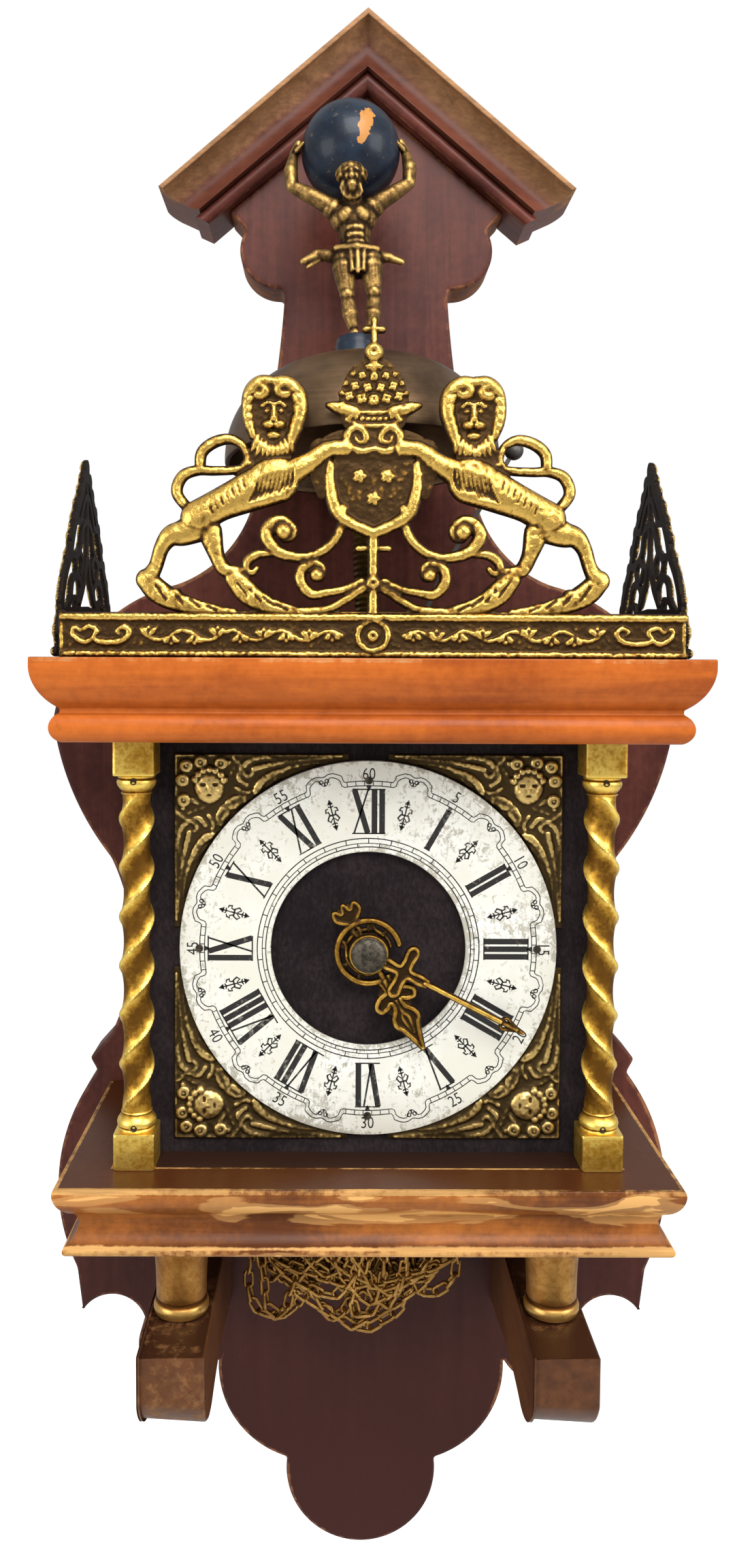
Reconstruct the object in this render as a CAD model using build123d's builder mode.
"""A Zaanse wall clock: carved backboard under a gable, a case between twisted brass
columns on two brackets, a brass crest with lions, a bell with a globe bearer, and the
two-train movement inside.

Millimetres.  X is right as seen, the wall is the plane y = 0 and the front faces -Y, Z is up.
The origin is the hole that hangs on the wall hook.  Most heights are counted from the dial
centre, and most depths from the wall, because that is how such a clock is set out.
"""

import os
from math import cos, radians, sin, tan

from build123d import *

# Setting out
hook_above_dial = 335.0
hook_hole_radius = 4.0
running = 0.05
seat_gap = 0.3

# Backboard and gable
board_thickness = 20.0
gable_pitch = 40.2
gable_height = 399.0
gable_half_width = 92.0
gable_depth = 36.0
gable_moulding_width = 17.0
bead_width = 6.0
bead_depth = 27.0
eave_cut_angle = 24.0
board_neck_half_width = 37.0
board_shoulder_half_width = 143.0
board_waist_half_width = 107.0
board_lobe_half_width = 140.5
board_bulb_radius = 33.0
board_tail_radius = 34.7
board_tail_drop = 300.6

# Case
case_half_width = 81.2
dial_board_half_width = 88.0
case_depth = 96.0
dial_board_thickness = 5.0
column_height = 165.0
case_drop = 82.0
post_width = 10.0
front_post_depth = 7.0
rear_post_depth = 24.0
door_thickness = 6.0
door_gap = 1.0
door_bar = 7.0
door_pin_radius = 1.0
door_pin_length = 5.0
door_swing = 95.0
glass_thickness = 2.0

# Cornice and base
cornice_half_width = 122.0
cornice_depth = 140.0
cornice_height = 31.0
cornice_stock = 25.0
deck_thickness = 12.0
base_half_width = 117.0
base_depth = 130.0
base_height = 27.0
base_stock = 20.0
base_board_thickness = 18.0

# Columns
column_spacing = 179.0
column_block = 16.0
column_block_height = 14.0
column_collar_height = 7.5
column_ridge_radius = 6.8
column_valley_radius = 4.7
twist_lead = 38.0
front_column_depth = 106.0
rear_column_depth = 32.0

# Brackets and feet
foot_height = 34.0
foot_top_radius = 12.0
foot_bottom_radius = 9.8
foot_ring_radius = 10.8
foot_spacing = 146.0
foot_depth = 100.0
bracket_width = 25.0
bracket_depth = 132.0
bracket_height = 36.0
bracket_face_height = 19.5

# Dial
dial_radius = 74.0
dial_inner_radius = 38.2
dial_thickness = 1.2
dial_standoff = 1.8
spandrel_half_width = 76.5
spandrel_thickness = 1.6
dial_hole_radius = 6.0
rivet_radius = 1.5

# Crest and side frets
rail_half_width = 112.0
rail_height = 16.0
rail_thickness = 3.0
rail_setback = 4.4
rail_depth = cornice_depth - rail_setback
crest_thickness = 3.2
side_fret_offset = 116.0
side_fret_thickness = 3.0
side_fret_front = 128.0
side_fret_back = 22.0
side_fret_height = 80.0

# Bell and globe bearer
bell_radius = 55.5
bell_height = 38.6
bell_wall = 2.0
bell_rim_height = 80.6
bell_foot_depth = 83.0
bell_lean_left = 2.1
bell_lean_back = 5.0
post_radius = 4.6
post_foot_radius = 7.5
spigot_radius = 2.0
stand_radius = 8.8
stand_foot_radius = 10.6
stand_height = 12.0
globe_radius = 20.6
globe_height = 213.0
globe_behind = 5.0

# Movement
rear_plate_depth = 42.0
plate_gap = 36.0
plate_thickness = 2.0
plate_half_width = 44.0
plate_height = 152.0
pillar_radius = 3.5
pillar_inset = 4.0
pillar_foot = 8.0
arbor_radius = 1.4
fine_arbor_radius = 0.95
pivot_radius = 0.7
end_play = 0.3
chain_width = 4.0
hammer_behind_plate = 10.0
sprocket_radius = 9.0
great_teeth = 48
great_module = 0.75
centre_pinion_teeth = 8
centre_teeth = 48
centre_module = 0.6
third_pinion_teeth = 6
third_teeth = 45
third_module = 0.5
escape_pinion_teeth = 6
escape_teeth = 30
escape_radius = 9.0
strike_pinion_teeth = 6
pin_wheel_teeth = 42
fly_pinion_teeth = 6
fly_radius = 9.0
cannon_teeth = 12
minute_teeth = 36
minute_module = 0.5
minute_pinion_teeth = 10
hour_teeth = 40
hour_module = 0.48

# Derived heights, from the origin
dial_z = -hook_above_dial
base_top = dial_z - case_drop
case_top_z = base_top + column_height
deck_z = case_top_z + cornice_height
base_bottom = base_top - base_height
bracket_top = base_bottom - foot_height
rail_top = deck_z + rail_height
os.makedirs("parts", exist_ok=True)


def save(piece, name):
    """Writes one named piece."""
    piece.label = name
    export_step(piece, f"parts/{name}.step")


def facing(depth):
    """The plane at this depth from the wall, seen from the front, with its centre on the dial's height."""
    return Plane(origin=(0, -depth, dial_z), x_dir=(1, 0, 0), z_dir=(0, -1, 0))


def polar(radius, angle, centre=(0, 0)):
    return (centre[0] + radius * cos(radians(angle)), centre[1] + radius * sin(radians(angle)))


# Backboard, one plank sawn to an outline, and the iron hanger let into its back
slope = radians(gable_pitch)
moulding_line = gable_height * cos(slope)
board_line = moulding_line - gable_moulding_width - bead_width
shoulder_drop = 52.7
shoulder_x = (board_line - (gable_height - 29.9 - shoulder_drop) * cos(slope)) / sin(slope)
neck_z = 279.0
tail_centre_z = -board_tail_drop + board_tail_radius
bulb_centre = (30.0, -228.0)
tail_notch = (board_tail_radius - 0.4, tail_centre_z + 5.3)
with BuildPart() as backboard:
    with BuildSketch(facing(0)):
        with BuildLine() as outline:
            edge = Line((0, board_line / cos(slope)), (shoulder_x, gable_height - 29.9 - shoulder_drop))
            edge = Line(edge @ 1, (shoulder_x - 7.3, gable_height - 90.5))
            edge = ThreePointArc(edge @ 1, (53.8, 288.8), (38.5, 282))
            edge = Line(edge @ 1, (board_neck_half_width, neck_z))
            edge = ThreePointArc(edge @ 1, (board_neck_half_width + 4, 240), (52.5, 181))
            edge = ThreePointArc(edge @ 1, (64, 162), (86, 147.6))
            edge = ThreePointArc(edge @ 1, (126, 123), (board_shoulder_half_width, 85))
            edge = ThreePointArc(edge @ 1, (132.5, 48.2), (116.4, 21.8))
            edge = ThreePointArc(edge @ 1, (board_waist_half_width, -20), (116.5, -60.5))
            edge = Line(edge @ 1, (126.2, -71.5))
            edge = Line(edge @ 1, (122.7, -77.8))
            edge = ThreePointArc(edge @ 1, (board_lobe_half_width, -120), (132.5, -170.5))
            edge = Line(edge @ 1, (129.9, -191))
            edge = ThreePointArc(edge @ 1, (114.6, -183.3), (100.5, -196))
            edge = ThreePointArc(edge @ 1, (100.5, -218), (84, -226))
            edge = ThreePointArc(edge @ 1, (74, -222), (66.5, -213.5))
            edge = ThreePointArc(edge @ 1, polar(board_bulb_radius, -18, bulb_centre), tail_notch)
            edge = ThreePointArc(edge @ 1, polar(board_tail_radius, -45, (0, tail_centre_z)), (0, -board_tail_drop))
            mirror(about=Plane.YZ)
        make_face()
    extrude(amount=board_thickness)
    hanger_thickness = 2.5
    hanger_width = 30.0
    hanger_height = 36.0
    with BuildSketch(Plane.XZ):
        Rectangle(hanger_width + 2 * running, hanger_height + 2 * running)
    extrude(amount=hanger_thickness, mode=Mode.SUBTRACT)
    with BuildSketch(Plane.XZ):
        Circle(hook_hole_radius + 3)
    extrude(amount=hanger_thickness + 8, mode=Mode.SUBTRACT)
    screw_hole_radius = 1.6
    screw_length = 12.0
    with BuildSketch(Plane.XZ) as hanger_screw_holes:
        with Locations((0, hanger_height / 2 - 6), (0, 6 - hanger_height / 2)):
            Circle(screw_hole_radius)
    extrude(amount=hanger_thickness + screw_length, mode=Mode.SUBTRACT)
save(backboard.part, "backboard")

with BuildPart() as hanger_plate:
    with BuildSketch(Plane.XZ):
        RectangleRounded(hanger_width, hanger_height, 4)
        Circle(hook_hole_radius, mode=Mode.SUBTRACT)
        with Locations((0, hanger_height / 2 - 6), (0, 6 - hanger_height / 2)):
            Circle(screw_hole_radius + 0.2, mode=Mode.SUBTRACT)
    extrude(amount=hanger_thickness)
    with Locations(Plane.XZ):
        with Locations((0, hanger_height / 2 - 6, 0), (0, 6 - hanger_height / 2, 0)):
            Cone(bottom_radius=3, top_radius=screw_hole_radius + 0.2, height=1.4,
                 align=(Align.CENTER, Align.CENTER, Align.MIN), mode=Mode.SUBTRACT)
save(hanger_plate.part, "hanger_plate")

with BuildPart() as hanger_screws:
    with Locations(Plane.XZ):
        with Locations((0, hanger_height / 2 - 6, 0.1), (0, 6 - hanger_height / 2, 0.1)):
            Cone(bottom_radius=2.8, top_radius=screw_hole_radius - running, height=1.3,
                 align=(Align.CENTER, Align.CENTER, Align.MIN))
            Cylinder(screw_hole_radius - running, hanger_thickness + screw_length - 1,
                     align=(Align.CENTER, Align.CENTER, Align.MIN))
save(hanger_screws.part, "hanger_screws")

# Gable, two mitred hollow mouldings round the head of the board, with a bead inside them
along = Vector(cos(slope), 0, -sin(slope))
apex = Vector(0, 0, dial_z + gable_height)
inward = Vector(-sin(slope), 0, -cos(slope))
rake = Plane(origin=apex, x_dir=inward, z_dir=-along)
rake_length = gable_half_width / cos(slope)
eave = Vector(gable_half_width, 0, apex.Z - gable_half_width * tan(slope))
eave_fall = Vector(-cos(radians(eave_cut_angle)), 0, -sin(radians(eave_cut_angle)))
eave_normal = Vector(sin(radians(eave_cut_angle)), 0, -cos(radians(eave_cut_angle)))
bead_eave = eave + eave_fall * (gable_moulding_width / cos(slope)) + Vector(0, 0, -3)
lip = 2.2
hollow_depth = 10.0


def trimmed_half(section, cut_at):
    """One raking moulding: the section run down the slope, mitred at the middle and cut at the eave."""
    extrude(section, amount=-(rake_length + 60))
    extrude(section, amount=60)
    split(bisect_by=Plane.YZ, keep=Keep.TOP)
    split(bisect_by=Plane(origin=cut_at, x_dir=(0, 1, 0), z_dir=eave_normal), keep=Keep.BOTTOM)


with BuildPart() as gable_right:
    with BuildSketch(rake) as moulding_section:
        with BuildLine():
            Polyline((0, 7), (0, gable_depth), (lip, gable_depth))
            hollow = ThreePointArc((lip, gable_depth), (gable_moulding_width * 0.55, gable_depth - hollow_depth),
                                   (gable_moulding_width, gable_depth - 6))
            Polyline(hollow @ 1, (gable_moulding_width, 0), (6, 0))
            RadiusArc((6, 0), (0, 7), 7.5)
        make_face()
    trimmed_half(moulding_section.sketch, eave)
save(gable_right.part, "gable_moulding_right")
save(mirror(gable_right.part, about=Plane.YZ), "gable_moulding_left")

with BuildPart() as bead_right:
    with BuildSketch(rake) as bead_section:
        with BuildLine():
            Polyline((gable_moulding_width, bead_depth - 2), (gable_moulding_width, 0),
                     (gable_moulding_width + bead_width, 0), (gable_moulding_width + bead_width, bead_depth - 2))
            ThreePointArc((gable_moulding_width + bead_width, bead_depth - 2),
                          (gable_moulding_width + bead_width / 2, bead_depth), (gable_moulding_width, bead_depth - 2))
        make_face()
    trimmed_half(bead_section.sketch, bead_eave)
gable_beads = Compound(children=[bead_right.part, mirror(bead_right.part, about=Plane.YZ)])
save(gable_beads, "gable_beads")

# Cornice and base, three lengths of mitred moulding round a board each


def mould_profile(plane, rows):
    """A moulding's section from its front face inwards: rows are (overhang lost, height from the top)."""
    with BuildSketch(plane) as section:
        with BuildLine():
            for row in rows:
                if len(row) == 2:
                    Line(*row)
                else:
                    ThreePointArc(*row)
        make_face()
    return section.sketch


def cornice_rows(stock):
    """Ovolo over a groove over a half-round bead; x runs inwards from the front, y up from the bottom."""
    return [((0, cornice_height), (0, cornice_height - 4)),
            ((0, cornice_height - 4), (2.8, cornice_height - 12.5), (9, cornice_height - 18.6)),
            ((9, cornice_height - 18.6), (9, cornice_height - 20.2)),
            ((9, cornice_height - 20.2), (5.6, 5.4), (9.4, 0)),
            ((9.4, 0), (stock, 0)), ((stock, 0), (stock, cornice_height)), ((stock, cornice_height), (0, cornice_height))]


def base_rows(stock):
    """Thick nosing over a hollow over a small bead."""
    return [((0.4, base_height), (0, base_height - 2)),
            ((0, base_height - 2), (2.2, base_height - 8), (7.2, base_height - 12)),
            ((7.2, base_height - 12), (8.4, base_height - 15)),
            ((8.4, base_height - 15), (7.4, base_height - 19.5), (3.6, 3.8)),
            ((3.6, 3.8), (3.4, 1.2), (5.6, 0)),
            ((5.6, 0), (stock, 0)), ((stock, 0), (stock, base_height)), ((stock, base_height), (0.4, base_height))]


def mitred_frame(name, rows, half_width, depth, bottom):
    """Front, left and right lengths of one moulding, mitred at the front corners."""
    front_plane = Plane(origin=(0, -depth, bottom), x_dir=(0, 1, 0), z_dir=(1, 0, 0))
    side_plane = Plane(origin=(half_width, -board_thickness, bottom), x_dir=(-1, 0, 0), z_dir=(0, 1, 0))
    corner = Plane(origin=(half_width, -depth, bottom), x_dir=(0, 0, 1), z_dir=(1, 1, 0))
    with BuildPart() as front:
        extrude(mould_profile(front_plane, rows), amount=half_width, both=True)
        split(bisect_by=corner, keep=Keep.BOTTOM)
        split(bisect_by=Plane(origin=(-half_width, -depth, bottom), x_dir=(0, 0, 1), z_dir=(-1, 1, 0)),
              keep=Keep.BOTTOM)
    with BuildPart() as side:
        extrude(mould_profile(side_plane, rows), amount=-(depth - board_thickness))
        split(bisect_by=corner, keep=Keep.TOP)
    save(front.part, name + "_front")
    save(side.part, name + "_right")
    save(mirror(side.part, about=Plane.YZ), name + "_left")


mitred_frame("cornice", cornice_rows(cornice_stock), cornice_half_width, cornice_depth, case_top_z)
mitred_frame("base_moulding", base_rows(base_stock), base_half_width, base_depth, base_bottom)


def slab(half_width, front, top):
    """The outline of a board between the side mouldings, from the backboard to this depth."""
    with BuildSketch(Plane.XY.offset(top)) as outline:
        with Locations((0, -(board_thickness + front) / 2)):
            Rectangle(2 * half_width, front - board_thickness)
    return outline.sketch


door_centre_x = case_half_width - door_thickness / 2
door_pin_depth = board_thickness + rear_post_depth + door_gap + door_thickness / 2 + 0.5
door_pins = [(door_centre_x, -door_pin_depth), (-door_centre_x, -door_pin_depth)]
hammer_depth = rear_plate_depth + plate_thickness + plate_gap - hammer_behind_plate
hammer_pivot = (15.0, 62.0)
pocket_half_width = 70.0
pocket_front = case_depth - dial_board_thickness - 1
bell_foot = Vector(0, -bell_foot_depth, deck_z)
slot_half_width = 8.0
slot_half_depth = 5.0
with BuildPart() as case_top:
    extrude(slab(cornice_half_width - cornice_stock, cornice_depth - cornice_stock, deck_z), amount=-cornice_height)
    with BuildSketch(Plane.XY.offset(case_top_z)):
        with Locations((0, -(board_thickness + 4 + pocket_front) / 2)):
            RectangleRounded(2 * pocket_half_width, pocket_front - board_thickness - 4, 5)
    extrude(amount=cornice_height - deck_thickness, mode=Mode.SUBTRACT)
    with BuildSketch(Plane.XY.offset(deck_z)):
        with Locations((hammer_pivot[0] + 2, -hammer_depth)):
            SlotOverall(2 * slot_half_width, 2 * slot_half_depth)
    extrude(amount=-deck_thickness, mode=Mode.SUBTRACT)
    with BuildSketch(Plane.XY.offset(case_top_z)):
        with Locations(*door_pins):
            Circle(door_pin_radius + running)
    extrude(amount=door_pin_length + 1, mode=Mode.SUBTRACT)
save(case_top.part, "case_top")

going_centre = polar(great_module * (great_teeth + centre_pinion_teeth) / 2, 225)
strike_centre = (23.0, -15.0)
going_x = going_centre[0]
strike_x = strike_centre[0]
chain_offset = sprocket_radius + 1.9
chain_depth = 61.5
chain_runs = [going_x - chain_offset, going_x + chain_offset, strike_x - chain_offset, strike_x + chain_offset]
chain_hole_radius = 4.0
with BuildPart() as base_board:
    extrude(slab(base_half_width - base_stock, base_depth - base_stock, base_top), amount=-base_board_thickness)
    with BuildSketch(Plane.XY.offset(base_top)):
        with Locations(*[(x, -chain_depth) for x in chain_runs]):
            Circle(chain_hole_radius)
        with Locations((0, -33)):
            SlotOverall(60, 14)
    extrude(amount=-base_board_thickness, mode=Mode.SUBTRACT)
    with BuildSketch(Plane.XY.offset(base_top)):
        with Locations(*door_pins):
            Circle(door_pin_radius + running)
    extrude(amount=-(door_pin_length + 1), mode=Mode.SUBTRACT)
save(base_board.part, "base_board")

# Case: four posts, the velvet-covered dial board on the front pair and a glazed door on each side
post_x = case_half_width - post_width / 2
with BuildPart() as case_posts:
    with BuildSketch(Plane.XY.offset(base_top)):
        front_y = -(case_depth - dial_board_thickness - front_post_depth / 2)
        with Locations((post_x, front_y), (-post_x, front_y)):
            Rectangle(post_width, front_post_depth)
        rear_y = -board_thickness - rear_post_depth / 2
        with Locations((post_x, rear_y), (-post_x, rear_y)):
            Rectangle(post_width, rear_post_depth)
    extrude(amount=column_height)
save(case_posts.part, "case_posts")

with BuildPart() as dial_board:
    with BuildSketch(facing(case_depth - dial_board_thickness)):
        with Locations((0, column_height / 2 - case_drop)):
            Rectangle(2 * dial_board_half_width, column_height)
        Circle(dial_hole_radius, mode=Mode.SUBTRACT)
    extrude(amount=dial_board_thickness)
save(dial_board.part, "dial_board")

door_back = door_pin_depth - door_thickness / 2
door_front = case_depth - dial_board_thickness - front_post_depth - door_gap
door_width = door_front - door_back
door_height = column_height - 2 * seat_gap
door_middle = Vector(case_half_width, -(door_back + door_front) / 2, base_top + column_height / 2)
door_face = Plane(origin=door_middle, x_dir=(0, 1, 0), z_dir=(1, 0, 0))
rebate = 2.0
knob_depth = door_front - door_bar / 2
for side in ("right", "left"):
    with BuildPart() as door:
        with BuildSketch(door_face):
            Rectangle(door_width, door_height)
            Rectangle(door_width - 2 * door_bar, door_height - 2 * door_bar, mode=Mode.SUBTRACT)
        extrude(amount=-door_thickness)
        rear_edges = door.edges().filter_by(Axis.Z).group_by(Axis.Y)[-1]
        fillet(rear_edges, door_thickness / 2 - 0.05)
        with BuildSketch(door_face.offset(-door_thickness)):
            Rectangle(door_width - 2 * door_bar + 2 * rebate, door_height - 2 * door_bar + 2 * rebate)
        extrude(amount=glass_thickness, mode=Mode.SUBTRACT)
        for height, way in ((base_top + seat_gap, -1), (base_top + seat_gap + door_height, 1)):
            with BuildSketch(Plane.XY.offset(height)):
                with Locations((door_centre_x, -door_pin_depth)):
                    Circle(door_pin_radius)
            extrude(amount=way * door_pin_length)
    with BuildPart() as pane:
        with BuildSketch(door_face.offset(-door_thickness)):
            Rectangle(door_width - 2 * door_bar + 2 * rebate - 2 * running,
                      door_height - 2 * door_bar + 2 * rebate - 2 * running)
        extrude(amount=glass_thickness)
    with BuildPart() as knob:
        with Locations(Plane(origin=(case_half_width, -knob_depth, dial_z), z_dir=(1, 0, 0))):
            Cylinder(1.8, 1.4, align=(Align.CENTER, Align.CENTER, Align.MIN))
            Cylinder(1.2, 4, align=(Align.CENTER, Align.CENTER, Align.MIN))
            with Locations((0, 0, 5)):
                Sphere(2.8)
    for piece, name in ((door.part, "door_"), (pane.part, "door_glass_"), (knob.part, "door_knob_")):
        save(piece if side == "right" else mirror(piece, about=Plane.YZ), name + side)

# Columns, turned and twisted brass between square end blocks
collar_radius = column_block / 2 - 0.4
shaft_height = column_height - 2 * (column_block_height + column_collar_height)
shaft_foot = base_top + column_block_height + column_collar_height
steps_per_turn = 8
twist_steps = round(shaft_height / twist_lead * steps_per_turn)


def ridge_section(plane, turn, hand):
    """Two sharp ridges and two round valleys, an eight-cornered outline turned with the twist."""
    ridge, valley = column_ridge_radius, column_valley_radius
    radii = (ridge, (ridge + valley) / 2, valley, (ridge + valley) / 2) * 2
    corners = [polar(radius, hand * (turn + 45 * k)) for k, radius in enumerate(radii)]
    with BuildSketch(plane) as section:
        with BuildLine():
            Polyline(*corners, close=True)
        make_face()
    return section.sketch


def column(x, depth, hand):
    """One column standing on the base board: block, collar, twisted shaft, collar, block."""
    with BuildPart() as piece:
        for foot in (base_top, case_top_z - column_block_height):
            with BuildSketch(Plane.XY.offset(foot)):
                with Locations((x, -depth)):
                    Rectangle(column_block, column_block)
            extrude(amount=column_block_height)
        for foot, way in ((base_top + column_block_height, 1), (case_top_z - column_block_height, -1)):
            with BuildSketch(Plane(origin=(x, -depth, foot), x_dir=(1, 0, 0), z_dir=(0, -1, 0))):
                with BuildLine():
                    Line((0, 0), (collar_radius - 0.6, 0))
                    ThreePointArc((collar_radius - 0.6, 0), (collar_radius, way * 1.8),
                                  (collar_radius - 0.8, way * 3.2))
                    Polyline((collar_radius - 0.8, way * 3.2), (column_valley_radius + 1, way * column_collar_height),
                             (0, way * column_collar_height), (0, 0))
                make_face()
            revolve(axis=Axis((x, -depth, 0), (0, 0, 1)))
        sections = []
        for step in range(twist_steps + 1):
            level = shaft_foot + shaft_height * step / twist_steps
            turn = 360 * shaft_height / twist_lead * step / twist_steps
            plane = Plane(origin=(x, -depth, level), x_dir=(1, 0, 0), z_dir=(0, 0, 1))
            sections.append(ridge_section(plane, turn, hand))
        loft(sections, ruled=True)
    return piece.part


half_spacing = column_spacing / 2
save(column(-half_spacing, front_column_depth, 1), "column_front_left")
save(column(half_spacing, front_column_depth, -1), "column_front_right")
rear_pair = Compound(children=[column(-half_spacing, rear_column_depth, 1), column(half_spacing, rear_column_depth, -1)])
save(rear_pair, "columns_rear")

# Feet of tapered brass on two wooden brackets, which carry the case
for side, name in ((1, "right"), (-1, "left")):
    foot_axis = Axis((side * foot_spacing / 2, -foot_depth, 0), (0, 0, 1))
    with BuildPart() as foot:
        foot_place = (side * foot_spacing / 2, -foot_depth, bracket_top)
        with BuildSketch(Plane(origin=foot_place, x_dir=(1, 0, 0), z_dir=(0, -1, 0))):
            with BuildLine():
                Polyline((0, 0), (foot_ring_radius - 0.6, 0))
                ThreePointArc((foot_ring_radius - 0.6, 0), (foot_ring_radius, 2.4), (foot_ring_radius - 0.4, 4.8))
                Polyline((foot_ring_radius - 0.4, 4.8), (foot_bottom_radius, 6))
                ThreePointArc((foot_bottom_radius, 6), (foot_bottom_radius + 0.7, foot_height * 0.6),
                              (foot_top_radius, foot_height))
                Polyline((foot_top_radius, foot_height), (0, foot_height), (0, 0))
            make_face()
        revolve(axis=foot_axis)
    save(foot.part, "foot_" + name)
    bracket_side = Plane(origin=(side * foot_spacing / 2, 0, bracket_top), x_dir=(0, -1, 0), z_dir=(-1, 0, 0))
    with BuildPart() as bracket:
        with BuildSketch(bracket_side):
            with BuildLine():
                Polyline((board_thickness, 0), (bracket_depth, 0), (bracket_depth - 0.5, -bracket_face_height))
                ThreePointArc((bracket_depth - 0.5, -bracket_face_height), (bracket_depth - 11, -bracket_height + 4.5),
                              (bracket_depth - 28, -bracket_height))
                ThreePointArc((bracket_depth - 28, -bracket_height), (bracket_depth - 50, -bracket_height + 2),
                              (bracket_depth - 70, -bracket_height + 1))
                Polyline((bracket_depth - 70, -bracket_height + 1), (board_thickness, -bracket_height - 6), (board_thickness, 0))
            make_face()
        extrude(amount=bracket_width / 2, both=True)
    save(bracket.part, "bracket_" + name)

# Crest: a cast brass rail along the cornice, and two lions holding a crowned shield over it
rail_front = Plane(origin=(0, -rail_depth, deck_z), x_dir=(1, 0, 0), z_dir=(0, -1, 0))
with BuildPart() as crest_rail:
    with BuildSketch(Plane(origin=(0, -rail_depth, deck_z), x_dir=(0, 1, 0), z_dir=(1, 0, 0))):
        with BuildLine():
            Polyline((rail_thickness, 0), (-1, 0), (-1, 2), (0, 3), (0, rail_height - 4), (-1.4, rail_height - 3))
            ThreePointArc((-1.4, rail_height - 3), (-1.6, rail_height - 1.2), (0.6, rail_height))
            Polyline((0.6, rail_height), (rail_thickness, rail_height), (rail_thickness, 0))
        make_face()
    extrude(amount=rail_half_width, both=True)
    boss_radius = 4.7
    boss_lift = 1.2
    with BuildSketch(rail_front):
        with Locations((0, rail_height / 2)):
            Circle(boss_radius)
            Circle(boss_radius - 1.4, mode=Mode.SUBTRACT)
            Circle(1.9)
    extrude(amount=boss_lift)
    scroll_centres = [(0.80 * rail_half_width + 4, 8.8), (0.80 * rail_half_width - 4.6, 7.6)]
    scroll_radius = 2.9
    with BuildSketch(rail_front):
        for centre in scroll_centres:
            with Locations(centre, (-centre[0], centre[1])):
                Circle(scroll_radius)
                Circle(scroll_radius - 1.1, mode=Mode.SUBTRACT)
    extrude(amount=boss_lift * 0.75)
save(crest_rail.part, "crest_rail")


def stroke(points, width):
    """A bar of this width along straight runs, with round ends, added to the open sketch."""
    with BuildLine(mode=Mode.PRIVATE) as path:
        Polyline(*points)
    trace(path.line, line_width=width)
    with Locations(points[0], points[-1]):
        Circle(width / 2)


# The lion on the left, as (across from the middle, up from the rail); bars are (points, width)
lion_bars = [
    ([(36, 50), (45.5, 43.7), (57, 38.3), (63, 33)], 10.5),
    ([(31, 48), (23, 54.3), (16.7, 58.6), (10.3, 59.6)], 4.6),
    ([(63, 31), (72.5, 27.5), (76.4, 23.4), (78.5, 17), (80, 11)], 4.2),
    ([(58, 29), (56.6, 21), (54, 16.2), (49.5, 14.6)], 4.4),
    ([(66, 36), (70.6, 43), (68.9, 49), (63.6, 51.3), (47, 51.6)], 2.4),
    ([(62.5, 51.7), (62, 57.4), (57.7, 61.4), (52, 62.6), (47, 60.2), (45, 55)], 2.4)]
scroll_bars = [
    ([(12.5, 36), (11.5, 31.8), (14.6, 25.6), (21, 21), (27.5, 20.3), (34.8, 22.4), (38.4, 27.6), (37, 32)], 2.6),
    ([(37, 32), (32.7, 33.6), (29.2, 30.6), (30, 27.2), (33, 27)], 2.2),
    ([(34.8, 21.6), (41, 21.3), (45, 18.6), (44.6, 15)], 2.2),
    ([(7, 7.6), (16, 7.8), (22, 7.2), (25.8, 11), (25.6, 15.6), (21.6, 17.6), (18.8, 14.6), (20.6, 12)], 2.2),
    ([(15.7, 54.3), (15.6, 44.7), (13, 36.4), (6.4, 32), (0, 28.8)], 3),
    ([(0, 11), (6.1, 7.5), (11.4, 3.7), (16.7, 1.3), (27, 1)], 2.8),
    ([(81, 11), (77.2, 7), (70, 3.4), (60, 1.2)], 5),
    ([(49.7, 12), (45.5, 7.4), (39.1, 3.6), (30, 1.2)], 5.6)]
rail_crest = Plane(origin=(0, -rail_depth + 0.2, rail_top), x_dir=(1, 0, 0), z_dir=(0, -1, 0))
with BuildPart() as crest_fret:
    with BuildSketch(rail_crest) as half:
        for points, width in lion_bars + scroll_bars:
            stroke(points, width)
        with Locations((35.4, 71)):
            Ellipse(10.6, 11.8)
        with Locations((37.5, 55)):
            Ellipse(8.2, 10)
        with Locations((62, 33)):
            Circle(6.2)
        with Locations((5.4, 62.8)):
            Ellipse(5.4, 4.2)
        mirror(about=Plane.YZ)
        with BuildLine():
            Polyline((0, 29.5), (6.4, 34), (11.6, 41), (13.2, 50), (12.6, 56), (0, 56))
            mirror(about=Plane.YZ)
        make_face()
        with BuildLine():
            Polyline((0, 63), (8.6, 64), (9.4, 69.4), (16.6, 76), (11.4, 77.5), (10.4, 82.6), (6, 87.6), (0, 89.4))
            mirror(about=Plane.YZ)
        make_face()
        with Locations((0, 60), (0, 20.5)):
            Rectangle(9, 12)
            Rectangle(3.2, 20)
        with Locations((0, 7)):
            Rectangle(2.6, 14)
        with Locations((0, 23.4)):
            Rectangle(11, 2.4)
        with Locations((0, 11)):
            Circle(2.7)
        with Locations((0, 92.6)):
            Circle(3.6)
        with Locations((0, 100)):
            Rectangle(2.4, 10)
            Rectangle(6.6, 2.4)
    extrude(amount=-crest_thickness)
    relief = 2.0
    with BuildSketch(rail_crest) as raised:
        with Locations((35.4, 70)):
            Ellipse(8.4, 9.6)
        with Locations((57, 37.5)):
            Circle(4)
        with Locations((39, 51)):
            Circle(5.4)
        mirror(about=Plane.YZ)
        with BuildLine():
            Polyline((0, 33), (5, 37), (9, 42.4), (10.4, 49.4), (10, 53), (0, 53))
            mirror(about=Plane.YZ)
        make_face()
        with BuildLine():
            Polyline((0, 67), (8, 67.6), (9.6, 74), (7, 83), (0, 86))
            mirror(about=Plane.YZ)
        make_face()
    extrude(amount=relief)
    split(bisect_by=Plane.XY.offset(rail_top), keep=Keep.TOP)
save(crest_fret.part, "crest_fret")

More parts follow.
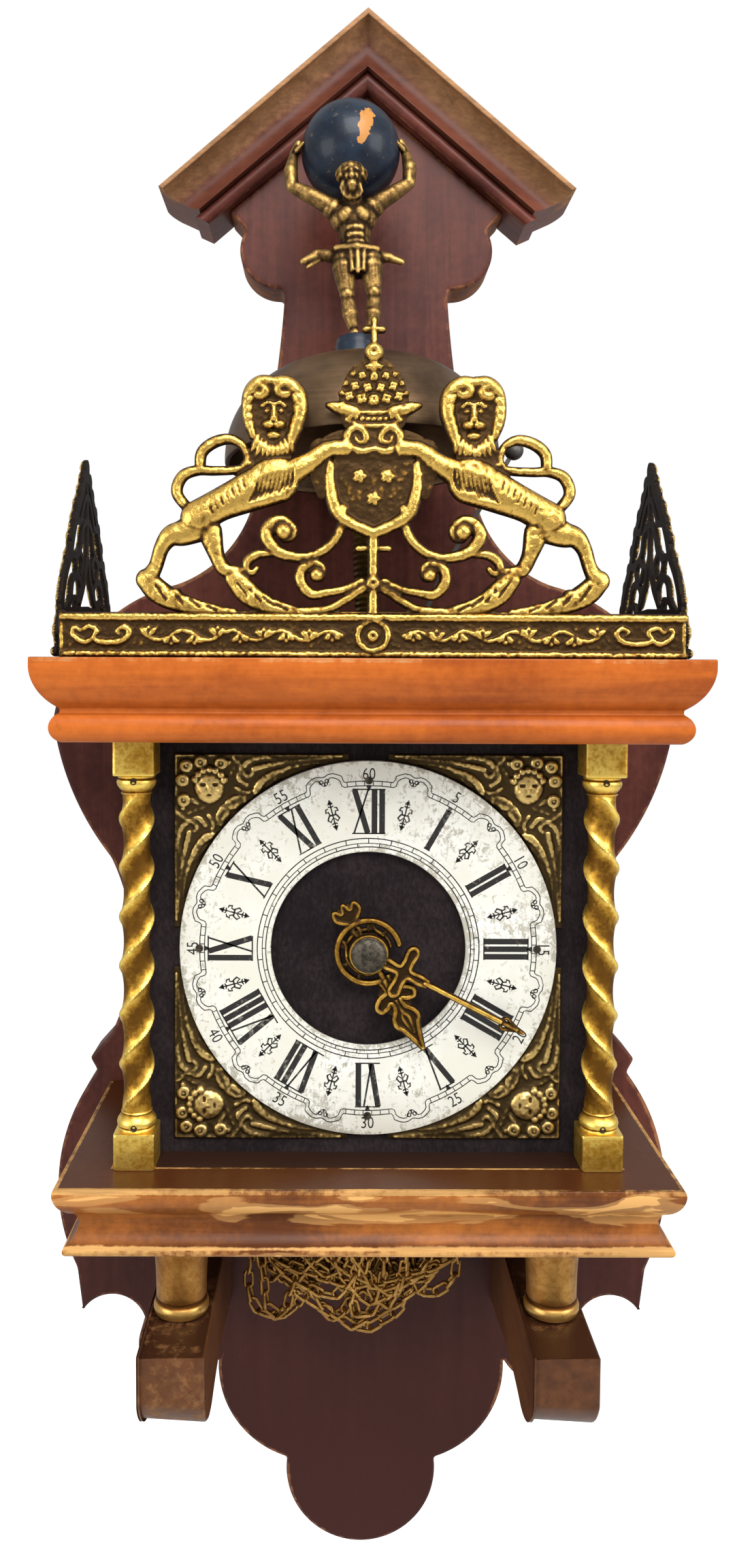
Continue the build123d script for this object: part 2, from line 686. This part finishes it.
# Side frets stand on scroll feet along the cornice's ends
fret_middle = (side_fret_front + side_fret_back) / 2
fret_bars = [
    ([(52, 2.4), (46, 2.4), (38, 2), (0, 2)], 4),
    ([(46, 4), (49, 10), (44, 16), (38, 17), (0, 19)], 3.4),
    ([(44, 18), (41, 26), (36, 33), (29, 40), (25, 47), (20, 54), (15, 60), (9, 66), (5, 71), (0, 76)], 4.4),
    ([(38, 17), (30, 22), (26, 30), (18, 32), (12, 28), (14, 22)], 2.8),
    ([(29, 40), (20, 40), (12, 44), (8, 52), (0, 56)], 2.8),
    ([(14, 22), (6, 30), (0, 42)], 2.8),
    ([(26, 3), (24, 10), (18, 14), (12, 18)], 2.6),
    ([(8, 3), (8, 12), (0, 18)], 2.6)]
for side, name in ((1, "right"), (-1, "left")):
    fret_plane = Plane(origin=(side * side_fret_offset, -fret_middle, deck_z), x_dir=(0, 1, 0), z_dir=(1, 0, 0))
    with BuildPart() as side_fret:
        with BuildSketch(fret_plane):
            for points, width in fret_bars:
                stroke(points, width)
            mirror(about=Plane.YZ)
            with Locations((0, side_fret_height - 3.2)):
                Circle(3.2)
        extrude(amount=side_fret_thickness / 2, both=True)
    save(side_fret.part, "side_fret_" + name)

# Dial: silvered chapter ring over four cast spandrels, pinned to the board
with BuildPart() as chapter_ring:
    with BuildSketch(facing(case_depth + dial_standoff)):
        Circle(dial_radius)
        Circle(dial_inner_radius, mode=Mode.SUBTRACT)
        with PolarLocations(dial_radius * 0.895, 4):
            Circle(rivet_radius + running, mode=Mode.SUBTRACT)
    extrude(amount=dial_thickness)
save(chapter_ring.part, "chapter_ring")

with BuildPart() as dial_rivets:
    with BuildSketch(facing(case_depth)):
        with PolarLocations(dial_radius * 0.895, 4):
            Circle(rivet_radius)
    extrude(amount=dial_standoff + dial_thickness + 0.5)
    with BuildSketch(facing(case_depth)):
        with PolarLocations(dial_radius * 0.895, 4):
            Circle(rivet_radius + 0.9)
    extrude(amount=dial_standoff)
save(dial_rivets.part, "dial_rivets")

spandrel_inner = spandrel_half_width - 66
with BuildPart() as spandrels:
    with BuildSketch(facing(case_depth)):
        for x in (1, -1):
            for y in (1, -1):
                with BuildLine():
                    corner = (x * spandrel_half_width, y * spandrel_half_width)
                    low = (x * spandrel_half_width, y * spandrel_inner)
                    inner = (x * spandrel_inner, y * spandrel_half_width)
                    Polyline(inner, corner, low)
                    ThreePointArc(low, (x * 0.745 * dial_radius, y * 0.745 * dial_radius), inner)
                make_face()
    extrude(amount=spandrel_thickness)
save(spandrels.part, "spandrels")

# Bell on its iron post, leaning a little left and back as the post is bent
lean_axis = Vector(-sin(radians(bell_lean_left)), tan(radians(bell_lean_back)), cos(radians(bell_lean_left)))
lean_axis = lean_axis.normalized()
lean_right = Vector(cos(radians(bell_lean_left)), 0, sin(radians(bell_lean_left)))


def leaning(height):
    """The plane across the leaning post at this height above the deck."""
    return Plane(origin=bell_foot + lean_axis * height, x_dir=lean_right, z_dir=lean_axis)


bell_top = bell_rim_height + bell_height
turning = Plane(origin=bell_foot, x_dir=lean_right, z_dir=lean_right.cross(lean_axis))
lean_line = Axis(turning.origin, turning.y_dir)
with BuildPart() as bell:
    with BuildSketch(turning):
        with BuildLine():
            outside = ThreePointArc((bell_radius, bell_rim_height),
                                    (bell_radius * 0.80, bell_rim_height + bell_height * 0.70),
                                    (bell_radius * 0.36, bell_top - 0.6))
            Polyline(outside @ 1, (spigot_radius + running, bell_top), (spigot_radius + running, bell_top - bell_wall),
                     (5, bell_top - bell_wall), (bell_radius * 0.36, bell_top - bell_wall - 0.6))
            ThreePointArc((bell_radius * 0.36, bell_top - bell_wall - 0.6),
                          (bell_radius * 0.80 - bell_wall * 0.7, bell_rim_height + bell_height * 0.70 - bell_wall * 0.7),
                          (bell_radius - bell_wall, bell_rim_height))
            Line((bell_radius - bell_wall, bell_rim_height), (bell_radius, bell_rim_height))
        make_face()
    revolve(axis=lean_line)
save(bell.part, "bell")

post_rib = 2.4
with BuildPart() as bell_post:
    rib_count = 22
    with BuildSketch(turning):
        with BuildLine():
            points = [(post_radius, 5)]
            for rib in range(rib_count):
                points.append((post_radius + 0.5, 6 + post_rib * rib + post_rib / 2))
                points.append((post_radius - 0.3, 6 + post_rib * rib + post_rib))
            points.append((3.2, bell_top - bell_wall - 4))
            points.append((3.2, bell_top - bell_wall))
            points.append((spigot_radius, bell_top - bell_wall))
            points.append((spigot_radius, bell_top + 8))
            Polyline((0, 1), *points, (0, bell_top + 8), close=True)
        make_face()
    revolve(axis=lean_line)
    with BuildSketch(Plane.XY.offset(deck_z)):
        with Locations((0, -bell_foot_depth)):
            Circle(post_foot_radius)
    extrude(amount=5.4)
save(bell_post.part, "bell_post")

# Globe bearer: painted stand, cast figure and globe
with BuildPart() as atlas_base:
    with BuildSketch(leaning(bell_top)):
        Circle(stand_foot_radius)
        Circle(spigot_radius + running, mode=Mode.SUBTRACT)
    with BuildSketch(leaning(bell_top + 8.2)):
        Circle(stand_radius + 0.4)
        Circle(spigot_radius + running, mode=Mode.SUBTRACT)
    loft()
    with BuildSketch(leaning(bell_top + 8.2)):
        Circle(stand_radius)
    extrude(amount=stand_height - 8.2)
save(atlas_base.part, "atlas_base")


def lean_point(across, front, height):
    """A point of the figure: across to the right, out to the front, up the leaning post."""
    place = leaning(0)
    return place.origin + place.x_dir * across - place.y_dir * front + lean_axis * height


def limb(start, end, start_radius, end_radius):
    """A tapered limb with round joints, added to the open part."""
    a = lean_point(*start)
    b = lean_point(*end)
    with Locations(Plane(origin=a, z_dir=b - a)):
        Cone(bottom_radius=start_radius, top_radius=end_radius, height=(b - a).length,
             align=(Align.CENTER, Align.CENTER, Align.MIN))
    for place, radius in ((a, start_radius), (b, end_radius)):
        with Locations(place):
            Sphere(radius + 0.02)


stand_top = bell_top + stand_height
figure_limbs = [
    ((-1.0, 5.0, stand_top + 1.6), (-1.2, 0.5, stand_top + 3.4), 1.8, 2.1),
    ((5.4, 5.6, stand_top + 1.6), (5.6, 1.0, stand_top + 3.6), 1.8, 2.1),
    ((-1.2, 0.5, stand_top + 3.4), (-3.6, 1.5, 149.4), 2.1, 3.3),
    ((5.6, 1.0, stand_top + 3.6), (7.4, 1.6, 149.8), 2.1, 3.3),
    ((-3.6, 1.5, 149.4), (-4.6, 0, 162.5), 3.3, 5.4),
    ((7.4, 1.6, 149.8), (6.6, 0, 162.5), 3.3, 5.4),
    ((-3.2, 0, 164), (5.2, 0, 164), 6.5, 6.6),
    ((0.8, 0, 164), (0.4, 0.4, 173), 8.2, 7.2),
    ((-3.6, 1.0, 182), (3.8, 1.0, 182), 6.5, 6.6),
    ((0.4, 0.4, 173), (0, 1.0, 184), 7.6, 7.0),
    ((0, 2.5, 185), (-0.4, 6.5, 192), 5.0, 4.4),
    ((-0.4, 8.2, 195.4), (-0.4, 8.4, 197.6), 5.4, 5.3),
    ((-8.4, 1.5, 186.5), (-25.0, 1.0, 196.2), 4.2, 3.0),
    ((8.4, 1.5, 186.5), (23.4, 1.0, 196.0), 4.2, 3.0),
    ((-25.0, 1.0, 196.2), (-23.8, -2.5, 213.0), 3.0, 2.2),
    ((23.4, 1.0, 196.0), (22.8, -2.5, 212.0), 3.0, 2.2),
    ((-8.5, 0, 165.5), (-21.5, 1.0, 164.2), 3.2, 2.0),
    ((9.0, 0, 165.0), (19.5, 0.5, 163.4), 3.0, 1.9)]
with BuildPart() as atlas_globe:
    with Locations(lean_point(0, -globe_behind, globe_height)):
        Sphere(globe_radius)
save(atlas_globe.part, "atlas_globe")
with BuildPart() as atlas_figure:
    for start, end, start_radius, end_radius in figure_limbs:
        limb(start, end, start_radius, end_radius)
    split(bisect_by=leaning(stand_top), keep=Keep.TOP)
    with Locations(lean_point(0, -globe_behind, globe_height)):
        Sphere(globe_radius + 0.02, mode=Mode.SUBTRACT)
save(atlas_figure.part, "atlas_figure")

# Movement: two plates on four pillars standing on the base board
front_plate_depth = rear_plate_depth + plate_thickness + plate_gap
gap_start = rear_plate_depth + plate_thickness
pillar_places = [(x, y) for x in (pillar_inset - plate_half_width, plate_half_width - pillar_inset)
                 for y in (pillar_foot - case_drop, 42.0)]


def pitch_distance(module, first, second):
    return module * (first + second) / 2


third_angle = 110.0
escape_angle = 75.0
pin_wheel_angle = 75.1
fly_angle = 100.0
stud_angle = 200.0
third_centre = polar(pitch_distance(centre_module, centre_teeth, third_pinion_teeth), third_angle)
escape_centre = polar(pitch_distance(third_module, third_teeth, escape_pinion_teeth), escape_angle, third_centre)
anchor_centre = (escape_centre[0], escape_centre[1] + 14.0)
pin_wheel_centre = polar(pitch_distance(great_module, great_teeth, strike_pinion_teeth), pin_wheel_angle, strike_centre)
fly_centre = polar(pitch_distance(third_module, pin_wheel_teeth, fly_pinion_teeth), fly_angle, pin_wheel_centre)
stud_centre = polar(pitch_distance(minute_module, cannon_teeth, minute_teeth), stud_angle)
pivot_places = [going_centre, third_centre, escape_centre, strike_centre, pin_wheel_centre, fly_centre, hammer_pivot]
spigot = 1.8
stud_radius = 1.2
centre_neck = 1.9
pivot_hole = pivot_radius + running


def disc(depth, thickness, radius, centre=(0, 0), bore=0.0):
    """A round plate facing the front, its back at this depth, added to the open part."""
    with BuildSketch(facing(depth)) as face:
        with Locations(centre):
            Circle(radius)
            if bore:
                Circle(bore, mode=Mode.SUBTRACT)
    extrude(face.sketch, amount=thickness)


def holes(depth, thickness, radius, places):
    with BuildSketch(facing(depth)) as face:
        with Locations(*places):
            Circle(radius)
    extrude(face.sketch, amount=thickness, mode=Mode.SUBTRACT)


def plate(depth):
    with BuildSketch(facing(depth)) as face:
        with Locations((0, plate_height / 2 - case_drop)):
            Rectangle(2 * plate_half_width, plate_height)
    extrude(face.sketch, amount=plate_thickness)
    holes(depth, plate_thickness, spigot + running, pillar_places)
    holes(depth, plate_thickness, pivot_hole, pivot_places)


with BuildPart() as movement_rear_plate:
    plate(rear_plate_depth)
    holes(rear_plate_depth, plate_thickness, pivot_hole, [(0, 0)])
    holes(rear_plate_depth, plate_thickness, 3.2, [anchor_centre])
save(movement_rear_plate.part, "movement_rear_plate")

with BuildPart() as movement_front_plate:
    plate(front_plate_depth)
    holes(front_plate_depth, plate_thickness, centre_neck + running, [(0, 0)])
    holes(front_plate_depth, plate_thickness, pivot_hole, [anchor_centre])
    disc(front_plate_depth + plate_thickness, 6.4, stud_radius, stud_centre)
save(movement_front_plate.part, "movement_front_plate")

with BuildPart() as movement_pillars:
    for place in pillar_places:
        disc(gap_start, plate_gap, pillar_radius, place)
        disc(gap_start - plate_thickness, plate_thickness, spigot, place)
        disc(front_plate_depth, plate_thickness, spigot, place)
save(movement_pillars.part, "movement_pillars")

# Wheels with their pinions and arbors; teeth are straight-sided
tooth_top = 0.09
tooth_root = 0.22
addendum = 0.75
dedendum = 1.0


def gear(depth, thickness, teeth, module, centre, first_tooth, spokes=0):
    """A toothed wheel, one tooth pointing at this angle, with crossings when it has spokes."""
    radius = module * teeth / 2
    pitch = 360 / teeth
    corners = []
    for k in range(teeth):
        middle = first_tooth + k * pitch
        corners.append(polar(radius - dedendum * module, middle - tooth_root * pitch, centre))
        corners.append(polar(radius + addendum * module, middle - tooth_top * pitch, centre))
        corners.append(polar(radius + addendum * module, middle + tooth_top * pitch, centre))
        corners.append(polar(radius - dedendum * module, middle + tooth_root * pitch, centre))
    with BuildSketch(facing(depth)) as face:
        with BuildLine():
            Polyline(*corners, close=True)
        make_face()
        if spokes:
            rim = radius * 0.80
            with Locations(centre):
                Circle(rim, mode=Mode.SUBTRACT)
                Circle(radius * 0.26)
                for k in range(spokes):
                    Rectangle(2 * rim + 0.4, radius * 0.13, rotation=180 * k / spokes)
    extrude(face.sketch, amount=thickness)


def meshing(angle, teeth):
    """The first tooth of a gear that has a gap facing back along this line of centres."""
    return angle + 180 + 180 / teeth


def arbor(centre, radius=arbor_radius):
    """A steel arbor between the plates, with a pivot in each."""
    disc(gap_start + end_play, plate_gap - 2 * end_play, radius, centre)
    disc(rear_plate_depth, plate_thickness + end_play, pivot_radius, centre)
    disc(front_plate_depth - end_play, plate_thickness + end_play, pivot_radius, centre)


great_depth = 66.0
sprocket_depth = 58.0
centre_depth = 74.0
third_depth = 52.0
for centre, contact, name in ((going_centre, 45, "going_great_wheel"),
                              (strike_centre, pin_wheel_angle, "strike_great_wheel")):
    with BuildPart() as great_wheel:
        gear(great_depth, 2, great_teeth, great_module, centre, contact, spokes=3)
        disc(sprocket_depth, 7, sprocket_radius, centre)
        disc(sprocket_depth + 7, 1.2, 5, centre)
        arbor(centre)
    save(great_wheel.part, name)

with BuildPart() as centre_wheel:
    gear(great_depth - 0.5, 3.5, centre_pinion_teeth, great_module, (0, 0), meshing(45, centre_pinion_teeth))
    gear(centre_depth, 1.5, centre_teeth, centre_module, (0, 0), third_angle, spokes=2)
    disc(gap_start + end_play, plate_gap - 2 * end_play, arbor_radius)
    disc(rear_plate_depth, plate_thickness + end_play, pivot_radius)
    disc(centre_depth + 1.5, front_plate_depth - centre_depth - 1.5 - end_play, 2.6)
    cannon_depth = front_plate_depth + plate_thickness + 1.4
    disc(front_plate_depth - end_play, cannon_depth - front_plate_depth + end_play, centre_neck)
    gear(cannon_depth, 1.7, cannon_teeth, minute_module, (0, 0), stud_angle)
    pipe_radius = 2.6
    hand_depth = 107.0
    disc(cannon_depth + 1.7, hand_depth + 1.6 - cannon_depth - 1.7, pipe_radius)
save(centre_wheel.part, "centre_wheel")

with BuildPart() as third_wheel:
    gear(centre_depth - 0.5, 2.5, third_pinion_teeth, centre_module, third_centre,
         meshing(third_angle, third_pinion_teeth))
    gear(third_depth, 1.2, third_teeth, third_module, third_centre, escape_angle, spokes=2)
    arbor(third_centre, fine_arbor_radius)
save(third_wheel.part, "third_wheel")

with BuildPart() as escape_wheel:
    gear(third_depth - 0.5, 2, escape_pinion_teeth, third_module, escape_centre,
         meshing(escape_angle, escape_pinion_teeth))
    escape_depth = 47.0
    with BuildSketch(facing(escape_depth)) as escape_face:
        with BuildLine():
            step = 360 / escape_teeth
            points = []
            for k in range(escape_teeth):
                points.append(polar(escape_radius, 90 + k * step, escape_centre))
                points.append(polar(escape_radius - 1.6, 90 + (k + 0.18) * step, escape_centre))
                points.append(polar(escape_radius - 1.6, 90 + (k + 0.55) * step, escape_centre))
            Polyline(*points, close=True)
        make_face()
        with Locations(escape_centre):
            Circle(escape_radius - 2.6, mode=Mode.SUBTRACT)
            Circle(2.3)
            Rectangle(2 * escape_radius - 4.6, 1)
            Rectangle(1, 2 * escape_radius - 4.6)
    extrude(escape_face.sketch, amount=1)
    arbor(escape_centre, fine_arbor_radius)
save(escape_wheel.part, "escape_wheel")

# Anchor over the escape wheel, its crutch behind the rear plate, and the cock that carries them
crutch_depth = 36.0
crutch_length = 62.0
cock_depth = 30.0
with BuildPart() as anchor:
    with BuildSketch(facing(escape_depth - 0.4)) as anchor_face:
        for side in (1, -1):
            ax, az = anchor_centre
            stroke([(ax, az), (ax + side * 5.6, az - 1.4), (ax + side * 8.4, az - 5.8)], 2)
    extrude(anchor_face.sketch, amount=1.8)
    disc(cock_depth + 2, front_plate_depth - end_play - cock_depth - 2, arbor_radius, anchor_centre)
    disc(cock_depth, 2, pivot_radius, anchor_centre)
    disc(front_plate_depth - end_play, plate_thickness + end_play, pivot_radius, anchor_centre)
    with BuildSketch(facing(crutch_depth)) as crutch_face:
        stroke([anchor_centre, (anchor_centre[0], anchor_centre[1] - crutch_length)], 2.2)
    extrude(crutch_face.sketch, amount=1.6)
save(anchor.part, "anchor")

with BuildPart() as suspension_cock:
    with BuildSketch(facing(cock_depth)) as cock_face:
        with Locations((anchor_centre[0], anchor_centre[1] + 3)):
            RectangleRounded(28, 14, 2)
        with Locations(anchor_centre):
            Circle(pivot_hole, mode=Mode.SUBTRACT)
    extrude(cock_face.sketch, amount=1.6)
    with BuildSketch(facing(cock_depth + 1.6)) as cock_legs:
        with Locations((anchor_centre[0] - 11, anchor_centre[1] + 5), (anchor_centre[0] + 11, anchor_centre[1] + 5)):
            Rectangle(6, 10)
    extrude(cock_legs.sketch, amount=rear_plate_depth - cock_depth - 1.6)
save(suspension_cock.part, "suspension_cock")

# Strike train
with BuildPart() as strike_pin_wheel:
    gear(great_depth - 0.5, 3.5, strike_pinion_teeth, great_module, pin_wheel_centre,
         meshing(pin_wheel_angle, strike_pinion_teeth))
    gear(third_depth, 1.2, pin_wheel_teeth, third_module, pin_wheel_centre, fly_angle, spokes=2)
    for k in range(8):
        disc(third_depth + 1.2, 2.8, 0.6, polar(9.2, 45 * k + 10, pin_wheel_centre))
    arbor(pin_wheel_centre)
save(strike_pin_wheel.part, "strike_pin_wheel")

with BuildPart() as fly:
    gear(third_depth - 0.5, 2.2, fly_pinion_teeth, third_module, fly_centre, meshing(fly_angle, fly_pinion_teeth))
    with BuildSketch(facing(46)) as fly_blade:
        with Locations(fly_centre):
            Rectangle(2 * fly_radius, 0.9, rotation=20)
            Circle(2)
    extrude(fly_blade.sketch, amount=3.5)
    arbor(fly_centre, fine_arbor_radius)
save(fly.part, "fly")

# Motion works behind the dial
with BuildPart() as minute_wheel:
    gear(cannon_depth + 0.2, 1.2, minute_teeth, minute_module, stud_centre, meshing(stud_angle, minute_teeth), spokes=2)
    gear(cannon_depth + 1.4, 2.7, minute_pinion_teeth, hour_module, stud_centre, stud_angle + 180)
    holes(cannon_depth, 5, stud_radius + running, [stud_centre])
save(minute_wheel.part, "minute_wheel")

hour_wheel_depth = cannon_depth + 2.1
hour_hand_depth = 103.0
hour_pipe_radius = 4.0
with BuildPart() as hour_wheel:
    gear(hour_wheel_depth, 1.2, hour_teeth, hour_module, (0, 0), meshing(stud_angle + 180, hour_teeth))
    disc(hour_wheel_depth, hour_hand_depth + 1.4 - hour_wheel_depth, hour_pipe_radius)
    holes(hour_wheel_depth, 30, pipe_radius + running, [(0, 0)])
save(hour_wheel.part, "hour_wheel")

# Hands, pierced brass, pointing as they stopped
minute_clock_angle = 117.0
hour_clock_angle = 150.4


def hand_plane(depth, clock_angle):
    """The plane of a hand: x runs out along it, y to its left as it points up."""
    turn = radians(clock_angle)
    return Plane(origin=(0, -depth, dial_z), x_dir=(sin(turn), 0, cos(turn)), z_dir=(0, -1, 0))


with BuildPart() as hour_hand:
    with BuildSketch(hand_plane(hour_hand_depth, hour_clock_angle)):
        Circle(7.4)
        with BuildLine():
            ring = CenterArc((0, 0), 12.8, 75, 285)
        trace(ring, line_width=2.6)
        stroke([(6, 0), (13, 0)], 2.6)
        stroke([(-6, 0), (-13, 0)], 2)
        stroke([(-13, -2), (-18.6, -4.6), (-20, 0), (-18.6, 4.6), (-13, 2)], 1.7)
        with BuildLine():
            Polyline((12, 2.6), (18, 1.8), (19.4, 7), (22, 8.4), (23.6, 6.6), (22.6, 2.6), (27, 3.4), (30.4, 5),
                     (34, 3), (43, 0), (34, -3), (30.4, -5), (27, -3.4), (22.6, -2.6), (23.6, -6.6), (22, -8.4),
                     (19.4, -7), (18, -1.8), (12, -2.6), close=True)
        make_face()
        Circle(hour_pipe_radius, mode=Mode.SUBTRACT)
    extrude(amount=1.5)
save(hour_hand.part, "hour_hand")

cross_middle = 15.0
loop_width = 3.7
with BuildPart() as minute_hand:
    with BuildSketch(hand_plane(hand_depth, minute_clock_angle)):
        Circle(7.8)
        with Locations((17, 0)):
            SlotOverall(19.5, loop_width)
        with Locations((cross_middle, 0)):
            SlotOverall(20.6, loop_width, rotation=90)
        with BuildLine():
            Polyline((25, 1.5), (36, 1.2), (55, 1.2), (57.6, 2.6), (60, 2.2), (67, 0), (60, -2.2), (57.6, -2.6),
                     (55, -1.2), (36, -1.2), (25, -1.5), close=True)
        make_face()
        loop_opening = loop_width - 2.4
        with Locations((11.2, 0)):
            SlotOverall(4, loop_opening, mode=Mode.SUBTRACT)
        with Locations((20.4, 0)):
            SlotOverall(7.2, loop_opening, mode=Mode.SUBTRACT)
        with Locations((cross_middle, 5.4), (cross_middle, -5.4)):
            SlotOverall(6.6, loop_opening, rotation=90, mode=Mode.SUBTRACT)
        Circle(pipe_radius, mode=Mode.SUBTRACT)
    extrude(amount=1.6)
save(minute_hand.part, "minute_hand")

cap_radius = 6.6
with BuildPart() as hand_cap:
    with BuildSketch(Plane(origin=(0, -hand_depth - 1.6, dial_z), x_dir=(1, 0, 0), z_dir=(0, 0, 1))):
        with BuildLine():
            Polyline((0, 0), (cap_radius, 0), (cap_radius, -0.8))
            ThreePointArc((cap_radius, -0.8), (cap_radius * 0.6, -2.4), (0, -3))
            Line((0, -3), (0, 0))
        make_face()
    revolve(axis=Axis((0, -hand_depth - 1.6, dial_z), (0, -1, 0)))
    disc(hand_depth + 3.6, 2, 1.1)
save(hand_cap.part, "hand_cap")

# Hammer, lifted behind the plates' heads, its rod bent round to the bell's rim
hammer_head = (60.0, 200.0)
with BuildPart() as hammer:
    disc(gap_start + end_play, plate_gap - 2 * end_play, arbor_radius, hammer_pivot)
    disc(rear_plate_depth, plate_thickness + end_play, pivot_radius, hammer_pivot)
    disc(front_plate_depth - end_play, plate_thickness + end_play, pivot_radius, hammer_pivot)
    with BuildSketch(facing(hammer_depth - 0.9)) as rod:
        stroke([(13, 48), hammer_pivot, (16.5, 112), (21, 126), (31.4, 151), (55.5, 192), hammer_head], 1.8)
    extrude(rod.sketch, amount=1.8)
    disc(hammer_depth - 4, 8, 2.6, hammer_pivot)
    with Locations(facing(hammer_depth)):
        with Locations((hammer_head[0], hammer_head[1], 0)):
            Sphere(4)
save(hammer.part, "hammer")

# Chains: over each sprocket, down through the base and gathered in swags under it
chain_low = -110.0
swags = [
    (0, [(-25.7, chain_low), (-30, -128), (-46, -140), (-49.6, -152), (-46.9, -164), (-41.5, -168), (-36, -168),
         (-30, -165), (-25, -156), (-23, -142), (-22, -128)]),
    (1, [(-26, -128), (-24.6, -146), (-21.8, -154), (-18.4, -161), (-13, -167), (-8.3, -163.4), (-4.2, -156),
         (-0.8, -146), (-3.9, -128), (-3.9, chain_low)]),
    (0, [(12.1, chain_low), (6, -128), (-4.2, -154), (-3.5, -166), (-1.5, -175), (2.6, -173.5), (9.4, -169.5),
         (14.8, -166), (18.2, -159), (19.5, -150), (17, -128)]),
    (1, [(33.9, chain_low), (33, -126), (20, -139), (22.2, -149), (23.6, -155), (29.7, -156), (35, -153), (38.5, -149),
         (39.2, -142), (36, -128), (33, -120)]),
    (2, [(-44, -136), (-42, -150), (-41, -160), (-34, -163), (-30, -150), (-20, -138), (-8, -134), (2, -150), (8, -160),
         (14, -150), (18, -138), (4, -130), (-20, -128), (-44, -136)])]
with BuildPart() as chains:
    for sprocket in (going_centre, strike_centre):
        with BuildSketch(facing(chain_depth - chain_width / 2)) as band:
            for side in (1, -1):
                stroke([(sprocket[0] + side * chain_offset, sprocket[1]), (sprocket[0] + side * chain_offset, -128)], 3)
            with BuildLine():
                over = CenterArc(sprocket, chain_offset, 0, 180)
            trace(over, line_width=3)
        extrude(band.sketch, amount=chain_width)
    for layer, points in swags:
        with BuildSketch(facing(chain_depth - chain_width / 2 + layer * chain_width)) as swag:
            stroke(points, 4)
        extrude(swag.sketch, amount=chain_width)
save(chains.part, "chains")
